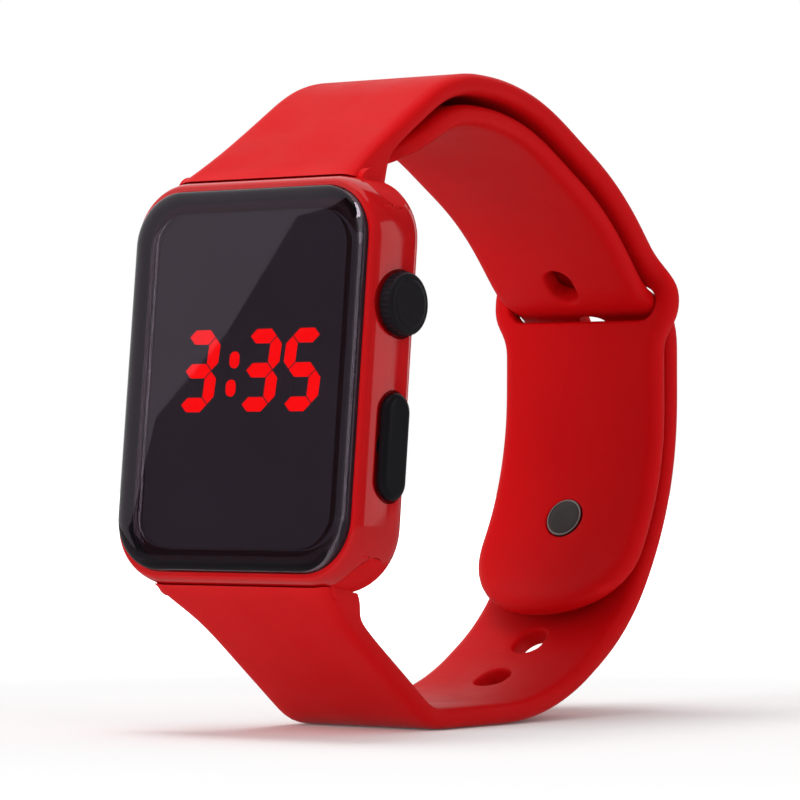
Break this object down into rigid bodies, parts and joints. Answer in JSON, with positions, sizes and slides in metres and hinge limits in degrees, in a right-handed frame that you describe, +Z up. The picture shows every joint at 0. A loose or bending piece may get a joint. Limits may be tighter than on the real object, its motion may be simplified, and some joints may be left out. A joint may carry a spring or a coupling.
{
  "type": "digital wristwatch",
  "caption": "Rectangular digital wristwatch with red LED display, side crown and button, on a closed pin-and-tuck silicone band.",
  "frame": {"origin": "on the flat run of the lower strap that the watch stands on, in the middle of the watch's width", "axes": "+Z up and towards twelve o'clock, -Y the side that the display faces, +X the side with the crown and the button"},
  "size_m": [0.0355, 0.0731, 0.0723],
  "materials": {
    "red_case": "gloss",
    "lens_glass": "polished",
    "adhesive": "matte",
    "display_mask": "matte",
    "lit_guides": "satin",
    "dark_guides": "satin",
    "board": "satin",
    "led_resin": "gloss",
    "chip_resin": "matte",
    "can_steel": "satin",
    "switch_resin": "satin",
    "holder_plastic": "satin",
    "cell_metal": "satin",
    "contact_steel": "satin",
    "cover_plastic": "satin",
    "seal_rubber": "matte",
    "screw_steel": "satin",
    "crown_metal": "satin",
    "spring_steel": "satin",
    "button_metal": "satin",
    "red_silicone": "satin",
    "stud_steel": "satin",
    "disc_plastic": "satin"
  },
  "bodies": {
    "watch": {"case_body": "red_case", "front_lens": "lens_glass", "lens_adhesive": "adhesive", "segment_mask": "display_mask", "lit_segments": "lit_guides", "dark_segments": "dark_guides", "circuit_board": "board", "led_chips": "led_resin", "driver_chip": "chip_resin", "quartz_crystal": "can_steel", "crown_switch": "switch_resin", "button_switch": "switch_resin", "battery_holder": "holder_plastic", "coin_battery": "cell_metal", "negative_contact": "contact_steel", "battery_strip": "contact_steel", "back_cover": "cover_plastic", "back_gasket": "seal_rubber", "back_screws": "screw_steel", "crown_seal": "seal_rubber", "crown_spring": "spring_steel", "button_seal": "seal_rubber", "button_springs": "spring_steel", "pin_strap": "red_silicone", "hole_strap": "red_silicone", "closure_stud": "stud_steel", "stud_disc": "disc_plastic"},
    "crown_slider": {"crown_stem": "screw_steel", "crown_clip": "spring_steel"},
    "crown_wheel": {"crown": "crown_metal"},
    "button_slider": {"side_button": "button_metal", "button_clip": "spring_steel"}
  },
  "joints": [
    {"name": "crown_press", "type": "slide", "parent": "watch", "child": "crown_slider", "axis": [-1, 0, 0], "range_m": [0, 0.0005], "stiffness_N_per_m": 1500, "springref_m": -0.0005, "deforming": ["crown_spring"]},
    {"name": "crown_turn", "type": "hinge", "parent": "crown_slider", "child": "crown_wheel", "pos_m": [0, -0.02277, 0.04585], "axis": [1, 0, 0], "continuous": true},
    {"name": "button_press", "type": "slide", "parent": "watch", "child": "button_slider", "axis": [-1, 0, 0], "range_m": [0, 0.0005], "stiffness_N_per_m": 2000, "springref_m": -0.0005, "deforming": ["button_springs"]}
  ]
}
